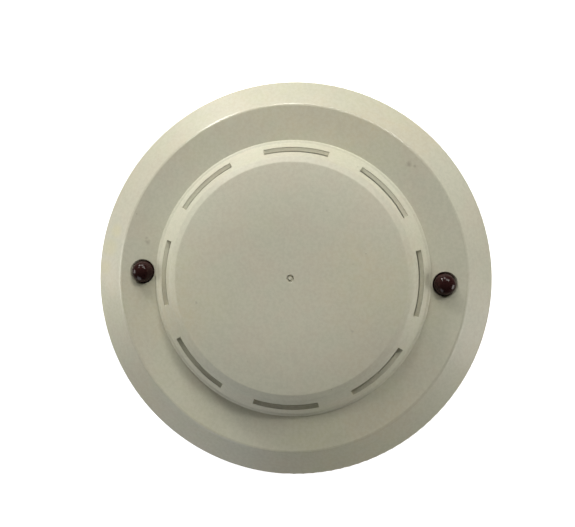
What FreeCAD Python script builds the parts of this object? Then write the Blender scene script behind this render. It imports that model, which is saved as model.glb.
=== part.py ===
import FreeCAD, Part

import math
import os

from FreeCAD import Vector

# Plug-in electronic heat detector on its twist-lock mounting base, in millimetres.
# The frame stands on the ceiling plane: z = 0 is the back of the base and +Z points out of the sensing
# face. The z axis is the twist axis, and the two status lamps lie on the x axis.

OUT = "parts"
Z_AXIS = Vector(0, 0, 1)

# ---- driving dimensions --------------------------------------------------------------------------

RIM_R = 52.0  # widest point of the head
RIM_Z = 31.9  # height of that widest point above the ceiling
WALL = 2.0  # moulded wall of the cover
SLOT_WALL = 0.85  # thinner wall round the air slots, measured square to it
SEAM = 0.6  # visible gap between head and base

FACE_R = 28.7  # sensing face
FACE_Z = RIM_Z + 10.7  # height of its edge
FACE_TOP_Z = FACE_Z + 1.3  # height of its slightly domed middle
FACE_BENDS = [(14.3, 0.0, 145.0), (23.0, 0.45, 95.0)]  # radius, drop and rounding of the dome's two bends
SHOULDER_R, SHOULDER_Z = 30.3, FACE_Z - 0.8  # edge between the face's chamfer and the slotted wall
FOOT_R, FOOT_Z = 34.65, RIM_Z + 5.0  # where the slotted wall ends in a small step
WALL_LEAN = (FOOT_R - SHOULDER_R) / (SHOULDER_Z - FOOT_Z)  # how far the wall runs in for each mm it rises
FLANGE_R, FLANGE_Z = 35.45, RIM_Z + 4.2  # inner edge of the nearly flat flange
BEVEL_R, BEVEL_Z = 44.65, RIM_Z + 4.4  # crest between the flange and the outer bevel
SKIRT_R, SKIRT_Z = 51.5, 20.8  # bottom edge of the cover's skirt

SLOT_COUNT = 8
SLOT_R_IN, SLOT_R_OUT = 31.6, 33.2  # air slots, sunk straight down into the sloping wall
SILL_LIP = 0.08  # drop from the wall to the flat sill of a slot; the slot breaks through at its inner side
SLOT_HALF = 14.6  # degrees
GATE_R, GATE_DEEP, GATE_NUB_R = 1.0, 0.3, 0.42  # moulding gate mark at the middle of the face

LAMP_X = 38.9  # distance of each lamp from the axis
LAMP_R, LAMP_FLANGE_R, LAMP_HOLE_R = 2.8, 3.2, 3.0
LAMP_LIP_Z = FLANGE_Z + (BEVEL_Z - FLANGE_Z) * (LAMP_X - FLANGE_R) / (BEVEL_R - FLANGE_R)
LAMP_CHAMFER = 0.25
LAMP_TIP_Z = LAMP_LIP_Z + 2.6
LAMP_TALL = 8.6

SCREW_ANGLES = (90, 210, 330)  # three screws hold cover, board and chassis together
SCREW_CIRCLE_R = 39.5
SCREW_SHANK_R, SCREW_HEAD_R = 1.45, 2.8
SCREW_TIP_Z = 31.8
PILLAR_R = 5.0  # pillars of the chassis under the board

BOARD_Z, BOARD_THICK, BOARD_R = 20.6, 1.6, 42.8
BOARD_TOP = BOARD_Z + BOARD_THICK
TAIL = 0.7  # how far the soldered leads reach below the board

CHASSIS_Z, CHASSIS_FLOOR = 13.4, 2.0  # underside and thickness of the head's rear floor
CHASSIS_R, CHASSIS_WALL = 45.4, 1.9
CHASSIS_RIM_R, CHASSIS_RIM_THICK = 49.6, 1.8
SCREW_SEAT_Z = CHASSIS_Z + 2.4

LABEL_WIDE, LABEL_DEEP, LABEL_Y = 30.0, 16.0, -6.0  # blank rating label on the rear floor

LUG_ANGLES = (30, 150, 270)  # bayonet lugs of the head, under the ledges of the base
LUG_R, LUG_THICK, LUG_HALF = 48.2, 1.8, 7.0
LUG_Z = CHASSIS_Z + 0.3
LEDGE_R, LEDGE_THICK, LEDGE_HALF = 46.0, 1.8, 10.0
LEDGE_Z = LUG_Z + LUG_THICK + 0.2
STOP_GAP = 0.4  # degrees between a locked lug and its stop web
STOP_HALF = 1.6

BASE_TOP_Z = SKIRT_Z - SEAM
BASE_R_TOP, BASE_R_BOTTOM, BASE_R_IN = 50.9, 50.1, 48.6
PLATE = 2.2
CABLE_R, CABLE_COLLAR_R, CABLE_COLLAR_Z = 14.0, 15.6, 5.0
BOX_SLOT_R = 2.2  # half the width of the mounting slots
BOX_SLOT_X, BOX_SLOT_X_LONG = 33.0, 12.0
BOX_SLOT_Y, BOX_SLOT_Y_LONG = 41.5, 8.0

TERMINAL_ANGLES = (45, 135, 225, 315)
TERMINAL_R = 33.0
TOWER_Z = 7.0  # seat of the contact strip
ANVIL_Z = 8.5  # plastic seat under the head's blade
STRIP_WIDE, STRIP_THICK, LEAF_THICK = 7.0, 0.8, 0.7
LEAF_Z = 9.5  # underside of the spring leaf
TERMINAL_SCREW_Y = -11.0
TERMINAL_SCREW_R, TERMINAL_HEAD_R = 1.7, 3.1
CLAMP_SIDE, CLAMP_THICK = 7.6, 0.9
BLADE_WIDE, BLADE_THICK, BLADE_Z = 5.0, 0.8, 8.6
BLADE_LEG_Y, BLADE_TIP_Y = 5.8, -3.6

DIAL_X, DIAL_Y, DIAL_R, DIAL_COLLAR_R = 7.5, 13.0, 3.2, 4.2  # two rotary address switches, side by side
SWITCH_SIDE = 9.6

TRAY_Z, TRAY_THICK = 32.4, 1.4  # light inner floor under the air slots
BAFFLE_GAP, BAFFLE_THICK = 0.65, 1.2  # air gap behind the slotted wall, and thickness of the baffle there
BAFFLE_TOP_Z = 39.4  # air turns over this edge into the chamber
TRAY_LEG_R = 29.5
SLEEVE_R, BEAD_R, BEAD_Z = 1.9, 1.35, 37.6
LEAD_R, WIRE_R, DRILL_R = 0.25, 0.3, 0.38  # sensor leads, other leads, and their drilled holes
LAMP_PITCH, SENSOR_PITCH, REFERENCE_PITCH = 2.54, 0.9, 1.2  # distance between the two leads of each

# ---- places of the parts on the board, as (x, y) -------------------------------------------------

AXIAL_Z = BOARD_TOP + 1.7
RESISTORS = [(x, 17 - 4.2 * k) for x in (-18, 18) for k in range(4)]
RESISTOR_SPAN, DIODE_SPAN = 5.1, 4.6  # from the middle of a lying part to each leg
DIODES = [(-21, -9 - 4.4 * k) for k in range(4)]
TRANSISTORS = [(27.5, 8.0), (27.5, -1.0), (27.5, -10.0)]
TRANSISTOR_PITCH, TRANSISTOR_R, TRANSISTOR_TALL, TRANSISTOR_LIFT = 1.27, 2.3, 4.6, 2.2
CANS = [(-9.5, 27.0, 4.0, 8.0), (10.5, -27.5, 3.2, 7.5)]  # x, y, radius and height of each capacitor
FILM_CAPACITORS = [(-31.5, 8.0), (-31.5, -2.0)]
FILM_WIDE, FILM_DEEP, FILM_TALL = 2.8, 7.2, 6.2
VARISTOR_X, VARISTOR_Y, VARISTOR_R, VARISTOR_THICK, VARISTOR_SPAN = 13.0, 28.0, 4.3, 3.0, 2.5
REED_Y, REED_Z, REED_R, REED_LONG, REED_SPAN = -22.0, BOARD_TOP + 2.0, 1.3, 14.0, 10.9
REFERENCE_X, REFERENCE_Y, REFERENCE_R, REFERENCE_Z = 9.5, -2.5, 1.2, BOARD_TOP + 3.0
IC_X, IC_Y, IC_LONG, IC_WIDE, IC_TALL = 0.0, -13.0, 19.0, 6.4, 3.2
IC_LIFT = 0.6
IC_PIN_PITCH, IC_PIN_OUT, IC_PIN_THICK, IC_PINS_A_SIDE = 2.3, 0.9, 0.25, 8
SHIELD_Y, SHIELD_WIDE, SHIELD_DEEP, SHIELD_TALL, SHIELD_THICK = 9.0, 24.0, 13.0, 6.0, 0.4


# ---- shape helpers -------------------------------------------------------------------------------

def rounded_wire(corners):
    """Closed wire in the xz plane through (x, z) corners; a third number rounds that corner."""
    points = [Vector(c[0], 0, c[1]) for c in corners]
    edges, last = [], None
    starts = []
    for i, corner in enumerate(corners):
        here, before, after = points[i], points[i - 1], points[(i + 1) % len(points)]
        radius = corner[2] if len(corner) > 2 else 0
        if not radius:
            starts.append((here, None, here))
            continue
        to_before, to_after = (before - here).normalize(), (after - here).normalize()
        half = to_before.getAngle(to_after) / 2
        middle = (to_before + to_after).normalize()
        reach = radius / math.tan(half)
        crest = here + middle * (radius / math.sin(half) - radius)
        starts.append((here + to_before * reach, crest, here + to_after * reach))
    for enter, crest, leave in starts:
        if last is not None:
            edges.append(Part.makeLine(last, enter))
        if crest is not None:
            edges.append(Part.Arc(enter, crest, leave).toShape())
        last = leave
    edges.append(Part.makeLine(last, starts[0][0]))
    return Part.Wire(edges)


def revolved(corners):
    """Solid of revolution about the z axis."""
    return Part.Face(rounded_wire(corners)).revolve(Vector(), Z_AXIS, 360)


def prism(corners, wide):
    """Flat outline in local (y, z), extruded along x to the given width and centred on x = 0."""
    face = Part.Face(rounded_wire(corners))
    face.rotate(Vector(), Z_AXIS, 90)
    face.translate(Vector(-wide / 2, 0, 0))
    return face.extrude(Vector(wide, 0, 0))


def rod(radius, low, high, x=0.0, y=0.0):
    """Upright cylinder between two heights."""
    return Part.makeCylinder(radius, high - low, Vector(x, y, low))


def tube(outer, inner, low, high, x=0.0, y=0.0):
    """Upright tube between two heights."""
    return rod(outer, low, high, x, y).cut(rod(inner, low - 1, high + 1, x, y))


def block(x, y, low, wide, deep, high):
    """Box centred on (x, y), standing on the height low."""
    return Part.makeBox(wide, deep, high, Vector(x - wide / 2, y - deep / 2, low))


def soft_block(x, y, low, wide, deep, high, radius):
    """Box with its upright edges rounded."""
    body = block(x, y, low, wide, deep, high)
    upright = [e for e in body.Edges if abs(e.tangentAt(e.FirstParameter).z) > 0.9]
    return body.makeFillet(radius, upright)


def sector(inner, outer, low, high, middle, half):
    """Piece of a ring, between two radii, two heights and two angles in degrees."""
    ring = Part.makeCylinder(outer, high - low, Vector(0, 0, low), Z_AXIS, 2 * half)
    ring = ring.cut(Part.makeCylinder(inner, high - low + 2, Vector(0, 0, low - 1)))
    ring.rotate(Vector(), Z_AXIS, middle - half)
    return ring


def slot(x, y, long, radius, low, high, along_y=False):
    """Upright slot with round ends, centred on (x, y) and running along x or y."""
    half = long / 2 - radius
    straight = block(0, 0, low, 2 * half, 2 * radius, high - low)
    ends = [rod(radius, low, high, half), rod(radius, low, high, -half)]
    body = straight.multiFuse(ends).removeSplitter()
    if along_y:
        body.rotate(Vector(), Z_AXIS, 90)
    body.translate(Vector(x, y, 0))
    return body


def turned(shape, angle, radius=0.0):
    """Copy of a shape made in local radial-tangential axes, moved out to a radius and turned to an angle."""
    copy = shape.copy()
    copy.translate(Vector(radius, 0, 0))
    copy.rotate(Vector(), Z_AXIS, angle)
    return copy


def around(shape, angles, radius=0.0):
    """The shape repeated at each angle, as a list."""
    return [turned(shape, angle, radius) for angle in angles]


def lying_rod(radius, long, x, y, z, angle=0.0):
    """Cylinder lying in the xy plane, centred on (x, y, z)."""
    body = Part.makeCylinder(radius, long, Vector(-long / 2, 0, 0), Vector(1, 0, 0))
    body.rotate(Vector(), Z_AXIS, angle)
    body.translate(Vector(x, y, z))
    return body


def softened(body, radius, wanted):
    """The body with a fillet on every edge that the wanted test picks."""
    return body.makeFillet(radius, [e for e in body.Edges if wanted(e)])


def export(name, *pieces):
    """Write one node as a STEP file; several like pieces go into one compound of separate solids."""
    solids = [solid for piece in pieces for solid in piece.Solids]
    if len(solids) != len(pieces):
        raise ValueError(name + " has " + str(len(solids)) + " solids for " + str(len(pieces)) + " pieces")
    shape = solids[0] if len(solids) == 1 else Part.makeCompound(solids)
    shape.exportStep(os.path.join(OUT, name + ".step"))


# ---- front cover and lamps -----------------------------------------------------------------------

def behind_wall(depth, z):
    """Radius, at the height z, of the surface that lies the given depth behind the slotted wall."""
    return FOOT_R - (z - FOOT_Z) * WALL_LEAN - depth * math.hypot(1, WALL_LEAN)


def domed_profile(top):
    """Corners of the domed face from the axis out: a flat middle that steepens in two long bends."""
    return [(0, top)] + [(radius, top - drop, bend) for radius, drop, bend in FACE_BENDS]


def cover_shell():
    """Turned shell of the cover: face, slotted wall, flange, outer bevel and skirt."""
    return revolved(domed_profile(FACE_TOP_Z) + [
        (FACE_R, FACE_Z, 1.2),
        (SHOULDER_R, SHOULDER_Z, 1.5),
        (FOOT_R, FOOT_Z, 0.4),
        (FLANGE_R - 0.15, FOOT_Z - 0.3, 0.2),
        (FLANGE_R, FLANGE_Z, 0.2),
        (BEVEL_R, BEVEL_Z, 1.2),
        (RIM_R, RIM_Z, 0.7),
        (SKIRT_R, SKIRT_Z, 0.35),
        (SKIRT_R - WALL + 0.2, SKIRT_Z, 0.2),
        (RIM_R - WALL, RIM_Z - 0.9, 1.0),
        (BEVEL_R - 0.3, BEVEL_Z - WALL - 0.3, 1.5),
        (behind_wall(SLOT_WALL, FLANGE_Z - WALL), FLANGE_Z - WALL, 1.0),
        (behind_wall(SLOT_WALL, FACE_Z - WALL), FACE_Z - WALL, 0.8),
    ] + domed_profile(FACE_TOP_Z - WALL)[::-1])


def gate_groove():
    """Ring groove round the nub of the moulding gate mark."""
    low, high = FACE_TOP_Z - GATE_DEEP, FACE_TOP_Z + 1
    return revolved([(GATE_NUB_R, low), (GATE_R - 0.15, low), (GATE_R + 0.1, high), (GATE_NUB_R - 0.1, high)])


def cover_bosses():
    """Screw bosses hanging from the flange, with three gusset ribs each."""
    boss_r, root_r, root_z = 3.4, 3.9, BOARD_TOP + 8
    rib_long, rib_thick, rib_z = 5.0, 1.2, BOARD_TOP + 4
    top = FLANGE_Z - WALL / 4
    boss = rod(boss_r, BOARD_TOP, top).fuse(rod(root_r, root_z, top))
    rib = block(boss_r - 0.4, 0, rib_z, rib_long, rib_thick, top - rib_z)
    gusset = boss.multiFuse([turned(rib, a) for a in (0, 120, 240)])
    return around(gusset, SCREW_ANGLES, SCREW_CIRCLE_R)


def front_cover():
    """Moulded cover with eight air slots, two lamp holes, screw bosses and an index rib."""
    sill_z = FOOT_Z + (FOOT_R - SLOT_R_OUT) / WALL_LEAN - SILL_LIP
    gap = sector(SLOT_R_IN, SLOT_R_OUT, sill_z, FACE_Z + 1, 0, SLOT_HALF)
    pitch = 360 / SLOT_COUNT
    slots = [turned(gap, pitch * k) for k in range(SLOT_COUNT)]
    lamp_holes = [rod(LAMP_HOLE_R, RIM_Z, FACE_Z, x) for x in (-LAMP_X, LAMP_X)]
    flare = 0.8
    flare_z = LAMP_LIP_Z - LAMP_CHAMFER - flare
    lead_in = Part.makeCone(LAMP_HOLE_R - flare, LAMP_HOLE_R + flare, 2 * flare, Vector(LAMP_X, 0, flare_z))
    lead_ins = around(lead_in, (0, 180))
    pilot = rod(SCREW_SHANK_R + 0.05, BOARD_TOP - 1, FLANGE_Z - 3.2)
    pilots = around(pilot, SCREW_ANGLES, SCREW_CIRCLE_R)
    index_rib = soft_block(RIM_R - 1.1, 0, SKIRT_Z + 0.4, 2.0, 2.4, 5.0, 0.4)
    cover = cover_shell().cut(slots)
    cover = cover.multiFuse(cover_bosses() + [turned(index_rib, -90)])
    return cover.cut(lamp_holes + lead_ins + pilots + [gate_groove()])


def lamp(x):
    """Lamp lens with its round tip, and its flange with a flat that marks the short lead."""
    foot = LAMP_TIP_Z - LAMP_TALL
    body = rod(LAMP_R, foot, LAMP_TIP_Z - LAMP_R, x)
    dome = Part.makeSphere(LAMP_R, Vector(x, 0, LAMP_TIP_Z - LAMP_R))
    flange_thick = 1.0
    flat = block(x + 2 * LAMP_R, 0, foot - 1, 2 * LAMP_R - 0.4, 3 * LAMP_R, flange_thick + 2)
    flange = rod(LAMP_FLANGE_R, foot, foot + flange_thick, x).cut(flat)
    half = LAMP_PITCH / 2
    lead_ways = [rod(WIRE_R + 0.05, foot - 1, foot + 4.4, x, y) for y in (-half, half)]
    return body.multiFuse([dome, flange]).removeSplitter().cut(lead_ways)


def lamp_leads(x):
    """Two lead wires of a lamp, from inside its lens down through the board."""
    foot = LAMP_TIP_Z - LAMP_TALL
    half = LAMP_PITCH / 2
    return [rod(WIRE_R, BOARD_Z - TAIL, foot + top, x, y) for y, top in ((-half, 3.9), (half, 4.3))]


def lamp_spacer(x):
    """Tube that holds a lamp at its height above the board."""
    half = LAMP_PITCH / 2
    ways = [rod(WIRE_R + 0.15, BOARD_TOP - 1, LAMP_TIP_Z, x, y) for y in (-half, half)]
    return rod(LAMP_FLANGE_R, BOARD_TOP, LAMP_TIP_Z - LAMP_TALL - 0.02, x).cut(ways)


# ---- sensing chamber -----------------------------------------------------------------------------

def chamber_tray():
    """Light floor of the air chamber on three legs, with a sloping baffle behind the slots and a collar."""
    outer = SLOT_WALL + BAFFLE_GAP
    inner = outer + BAFFLE_THICK
    floor_top = TRAY_Z + TRAY_THICK
    tray = revolved([
        (0, TRAY_Z),
        (behind_wall(outer, floor_top), TRAY_Z, 0.5),
        (behind_wall(outer, floor_top), floor_top, 0.3),
        (behind_wall(outer, BAFFLE_TOP_Z), BAFFLE_TOP_Z, 0.4),
        (behind_wall(inner, BAFFLE_TOP_Z), BAFFLE_TOP_Z, 0.4),
        (behind_wall(inner, floor_top), floor_top, 0.5),
        (0, floor_top),
    ])
    collar = rod(SLEEVE_R + 1.3, TRAY_Z, TRAY_Z + 3.2)
    vanes = [turned(block(16, 0, TRAY_Z, 20, 1.0, 3.0), a) for a in (30, 150, 270)]
    legs = around(rod(1.8, BOARD_TOP, TRAY_Z + 0.5), (30, 150, 270), TRAY_LEG_R)
    body = tray.multiFuse([collar] + vanes + legs)
    return body.cut(rod(SLEEVE_R + 0.05, TRAY_Z - 1, TRAY_Z + 5))


def thermistor_bead():
    """Epoxy-dipped sensing bead, with two ways for its leads."""
    neck = Part.makeCone(0.9, BEAD_R * 0.92, 1.6, Vector(0, 0, BEAD_Z - 2.0))
    bead = Part.makeSphere(BEAD_R, Vector(0, 0, BEAD_Z)).fuse(neck)
    half = SENSOR_PITCH / 2
    ways = [rod(LEAD_R + 0.02, BEAD_Z - 4, BEAD_Z, x) for x in (-half, half)]
    return bead.removeSplitter().cut(ways)


def thermistor_leads():
    """The bead's two lead wires, down through the sleeve to the board."""
    half = SENSOR_PITCH / 2
    return [rod(LEAD_R, BOARD_Z - TAIL, BEAD_Z - 0.05, x) for x in (-half, half)]


def thermistor_sleeve():
    """Insulating sleeve round the leads, seated in the tray's collar."""
    return tube(SLEEVE_R, 0.9, BOARD_TOP + 0.05, TRAY_Z + 2.6)


# ---- board and its parts -------------------------------------------------------------------------

def lead_places():
    """Every through-hole of the board, as (x, y)."""
    half = LAMP_PITCH / 2
    places = [(x, y) for x in (-LAMP_X, LAMP_X) for y in (-half, half)]
    places += [(side * SENSOR_PITCH / 2, 0) for side in (-1, 1)]
    places += [(REFERENCE_X + side * REFERENCE_PITCH / 2, REFERENCE_Y) for side in (-1, 1)]
    places += [(x + side * RESISTOR_SPAN, y) for x, y in RESISTORS for side in (-1, 1)]
    places += [(x + side * DIODE_SPAN, y) for x, y in DIODES for side in (-1, 1)]
    places += [(x, y + TRANSISTOR_PITCH * k) for x, y in TRANSISTORS for k in (-1, 0, 1)]
    places += [(VARISTOR_X + side * VARISTOR_SPAN, VARISTOR_Y) for side in (-1, 1)]
    places += [(side * REED_SPAN, REED_Y) for side in (-1, 1)]
    return places


def ic_pin_places():
    """Offsets of the controller's pins along its length."""
    return [(k - (IC_PINS_A_SIDE - 1) / 2) * IC_PIN_PITCH for k in range(IC_PINS_A_SIDE)]


def circuit_board():
    """Round board with screw holes, blade slots and every lead hole."""
    low, high = BOARD_Z - 1, BOARD_TOP + 1
    board = rod(BOARD_R, BOARD_Z, BOARD_TOP)
    cuts = around(rod(1.8, low, high), SCREW_ANGLES, SCREW_CIRCLE_R)
    blade = block(0, BLADE_LEG_Y - BLADE_THICK / 2, low, BLADE_WIDE - 1.6, BLADE_THICK + 0.4, high - low)
    cuts += around(blade, TERMINAL_ANGLES, TERMINAL_R)
    cuts += [rod(DRILL_R, low, high, x, y) for x, y in lead_places()]
    pin_row = IC_WIDE / 2 + IC_PIN_OUT - IC_PIN_THICK / 2
    for x in ic_pin_places():
        cuts += [rod(0.55, low, high, IC_X + x, IC_Y + y) for y in (-pin_row, pin_row)]
    cuts.append(block(0, -BOARD_R, low, 3.0, 2.4, high - low))
    return board.cut(cuts)


def wire_loop(x, y, half, height):
    """Bent lead of a lying part: two legs down through the board and one run at the given height."""
    bend, foot = 0.9, BOARD_Z - TAIL
    turn = bend * (1 - math.sqrt(0.5))
    sides = []
    for side in (-1, 1):
        low = Vector(side * half, 0, height - bend)
        middle = Vector(side * (half - turn), 0, height - turn)
        high = Vector(side * (half - bend), 0, height)
        leg = Part.makeLine(Vector(side * half, 0, foot), low)
        sides.append((leg, Part.Arc(low, middle, high).toShape(), high))
    run = Part.makeLine(sides[0][2], sides[1][2])
    spine = Part.Wire([sides[0][0], sides[0][1], run, sides[1][1], sides[1][0]])
    profile = Part.Wire([Part.makeCircle(WIRE_R, Vector(-half, 0, foot), Z_AXIS)])
    lead = spine.makePipeShell([profile], True, False)
    lead.translate(Vector(x, y, 0))
    return lead


def axial_parts(places, radius, long):
    """Lying bodies of resistors or diodes, round-shouldered, each on its lead."""
    bodies = []
    for x, y in places:
        body = lying_rod(radius, long, 0, 0, AXIAL_Z)
        body = softened(body, radius * 0.45, lambda e: e.Curve.TypeId == "Part::GeomCircle")
        body = body.cut(lying_rod(WIRE_R + 0.02, long + 2, 0, 0, AXIAL_Z))
        body.translate(Vector(x, y, 0))
        bodies.append(body)
    return bodies


def axial_leads(places, half):
    """Bent leads for a set of lying parts."""
    return [wire_loop(x, y, half, AXIAL_Z) for x, y in places]


def capacitor_can(x, y, radius, height):
    """Upright electrolytic capacitor with its crimp groove and scored top."""
    low = BOARD_TOP + 0.1
    top = low + height
    can = revolved([
        (0, low), (radius, low, 0.3), (radius, low + 1.0), (radius - 0.35, low + 1.4, 0.3),
        (radius, low + 1.8), (radius, top, 0.5), (radius - 0.6, top, 0.1), (radius - 0.7, top - 0.25, 0.1),
        (0, top - 0.25),
    ])
    for angle in (0, 90):
        score = block(0, 0, top - 0.45, radius * 1.2, 0.3, 1)
        score.rotate(Vector(), Z_AXIS, angle)
        can = can.cut(score)
    can.translate(Vector(x, y, 0))
    return can


def control_ic():
    """Sixteen-pin moulded controller with its orientation notch."""
    low = BOARD_TOP + IC_LIFT
    body = soft_block(IC_X, IC_Y, low, IC_LONG, IC_WIDE, IC_TALL, 0.2)
    notch = rod(0.9, low + IC_TALL - 0.4, low + IC_TALL + 1, IC_X - IC_LONG / 2, IC_Y)
    return body.cut(notch)


def ic_pins():
    """The controller's sixteen bent pins."""
    out = IC_WIDE / 2 + IC_PIN_OUT
    mid = BOARD_TOP + IC_LIFT + IC_TALL / 2
    inner, under, foot = out - IC_PIN_THICK, mid - IC_PIN_THICK, BOARD_Z - TAIL
    pin = prism([
        (IC_WIDE / 2, mid), (out, mid, 0.1), (out, foot), (inner, foot), (inner, under, 0.1),
        (IC_WIDE / 2, under),
    ], 0.9)
    pins = []
    for side in (0, 180):
        for x in ic_pin_places():
            copy = pin.copy()
            copy.translate(Vector(x, 0, 0))
            copy.rotate(Vector(), Z_AXIS, side)
            copy.translate(Vector(IC_X, IC_Y, 0))
            pins.append(copy)
    return pins


def shield_can():
    """Folded metal screen over the signal parts, with cooling holes in its top."""
    top = BOARD_TOP + SHIELD_TALL
    shell = soft_block(0, SHIELD_Y, BOARD_TOP, SHIELD_WIDE, SHIELD_DEEP, SHIELD_TALL, 0.8)
    inner_wide, inner_deep = SHIELD_WIDE - 2 * SHIELD_THICK, SHIELD_DEEP - 2 * SHIELD_THICK
    inner_tall = SHIELD_TALL + 1 - SHIELD_THICK
    hollow = soft_block(0, SHIELD_Y, BOARD_TOP - 1, inner_wide, inner_deep, inner_tall, 0.5)
    spots = [(4.0 * i, SHIELD_Y + 3.4 * j) for i in range(-2, 3) for j in (-1, 0, 1)]
    return shell.cut([hollow] + [rod(0.8, top - 2, top + 1, x, y) for x, y in spots])


def transistor(x, y):
    """Small moulded transistor with one flat side, standing on the board."""
    low = BOARD_TOP + TRANSISTOR_LIFT
    flat_x = x + 1.3
    cutter = block(flat_x + TRANSISTOR_R, y, low - 1, 2 * TRANSISTOR_R, 8, TRANSISTOR_TALL + 2)
    body = rod(TRANSISTOR_R, low, low + TRANSISTOR_TALL, x, y).cut(cutter)
    return softened(body, 0.3, lambda e: e.CenterOfMass.z > low + TRANSISTOR_TALL - 0.1)


def transistor_leads(x, y):
    """Three straight leads of a transistor."""
    low = BOARD_Z - TAIL
    tall = BOARD_TOP + TRANSISTOR_LIFT - low
    return [block(x, y + TRANSISTOR_PITCH * k, low, 0.4, 0.45, tall) for k in (-1, 0, 1)]


def varistor():
    """Dipped disc varistor standing on edge."""
    z = BOARD_TOP + VARISTOR_R + 0.3
    back = Vector(VARISTOR_X, VARISTOR_Y - VARISTOR_THICK / 2, z)
    disc = Part.makeCylinder(VARISTOR_R, VARISTOR_THICK, back, Vector(0, 1, 0))
    disc = softened(disc, 1.2, lambda e: e.Curve.TypeId == "Part::GeomCircle")
    places = (VARISTOR_X - VARISTOR_SPAN, VARISTOR_X + VARISTOR_SPAN)
    return disc.cut([rod(WIRE_R + 0.04, BOARD_TOP - 1, z - 2.2, x, VARISTOR_Y) for x in places])


def varistor_leads():
    """The varistor's two leads."""
    places = (VARISTOR_X - VARISTOR_SPAN, VARISTOR_X + VARISTOR_SPAN)
    return [rod(WIRE_R, BOARD_Z - TAIL, BOARD_TOP + 2.2, x, VARISTOR_Y) for x in places]


def reed_glass():
    """Glass tube of the magnet test switch, with round sealed ends and a bore for its reeds."""
    glass = lying_rod(REED_R, REED_LONG, 0, 0, 0)
    glass = softened(glass, REED_R * 0.8, lambda e: e.Curve.TypeId == "Part::GeomCircle")
    chamber = lying_rod(REED_R - 0.45, REED_LONG - 3.2, 0, 0, 0)
    glass = glass.cut([chamber, lying_rod(0.36, REED_LONG + 2, 0, 0, 0)])
    glass.translate(Vector(0, REED_Y, REED_Z))
    return glass


def reed_blades():
    """The two reeds: flat overlapping tongues inside the glass and bent wire legs outside it."""
    blades = []
    wire_r, offset = 0.28, 0.07
    for side in (-1, 1):
        z = REED_Z + offset * side
        tongue = block(side * 1.9, 0, z - 0.06, 5.4, 0.9, 0.12)
        wire = lying_rod(wire_r, REED_SPAN - 4.5, side * (REED_SPAN + 4.5) / 2, 0, z)
        leg = rod(wire_r, BOARD_Z - TAIL, z, side * REED_SPAN)
        elbow = Part.makeSphere(wire_r, Vector(side * REED_SPAN, 0, z))
        blade = tongue.multiFuse([wire, leg, elbow])
        blade.translate(Vector(0, REED_Y, 0))
        blades.append(blade)
    return blades


def film_capacitor(x, y):
    """Boxed film capacitor."""
    return soft_block(x, y, BOARD_TOP + 0.1, FILM_WIDE, FILM_DEEP, FILM_TALL, 0.3)


def reference_bead():
    """Second thermistor bead, low on the board, that lags behind the sensing one."""
    bead = Part.makeSphere(REFERENCE_R, Vector(REFERENCE_X, REFERENCE_Y, REFERENCE_Z))
    places = (REFERENCE_X - REFERENCE_PITCH / 2, REFERENCE_X + REFERENCE_PITCH / 2)
    return bead.cut([rod(LEAD_R + 0.02, BOARD_TOP - 1, REFERENCE_Z, x, REFERENCE_Y) for x in places])


def reference_leads():
    """The reference bead's two leads."""
    places = (REFERENCE_X - REFERENCE_PITCH / 2, REFERENCE_X + REFERENCE_PITCH / 2)
    return [rod(LEAD_R, BOARD_Z - TAIL, REFERENCE_Z - 0.05, x, REFERENCE_Y) for x in places]


# ---- rear of the head ----------------------------------------------------------------------------

def chassis_shell():
    """Turned rear floor of the head, with its wall and the rim that closes the cover's skirt."""
    floor_top = CHASSIS_Z + CHASSIS_FLOOR
    rim_top = SKIRT_Z + CHASSIS_RIM_THICK
    inner = CHASSIS_R - CHASSIS_WALL
    return revolved([
        (0, CHASSIS_Z), (CHASSIS_R, CHASSIS_Z, 0.8), (CHASSIS_R, SKIRT_Z, 0.5),
        (CHASSIS_RIM_R - 0.4, SKIRT_Z, 0.2), (CHASSIS_RIM_R - 0.4, rim_top, 0.3),
        (inner, rim_top, 0.3), (inner, floor_top), (0, floor_top),
    ])


def blade_socket():
    """Collar that holds a contact blade where it passes the floor, in the terminal's local axes."""
    lip, middle = 3.0, BLADE_LEG_Y - BLADE_THICK / 2
    tall = CHASSIS_FLOOR + 3.4
    return soft_block(0, middle, CHASSIS_Z - 1.2, BLADE_WIDE + lip, BLADE_THICK + lip, tall, 0.6)


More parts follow.
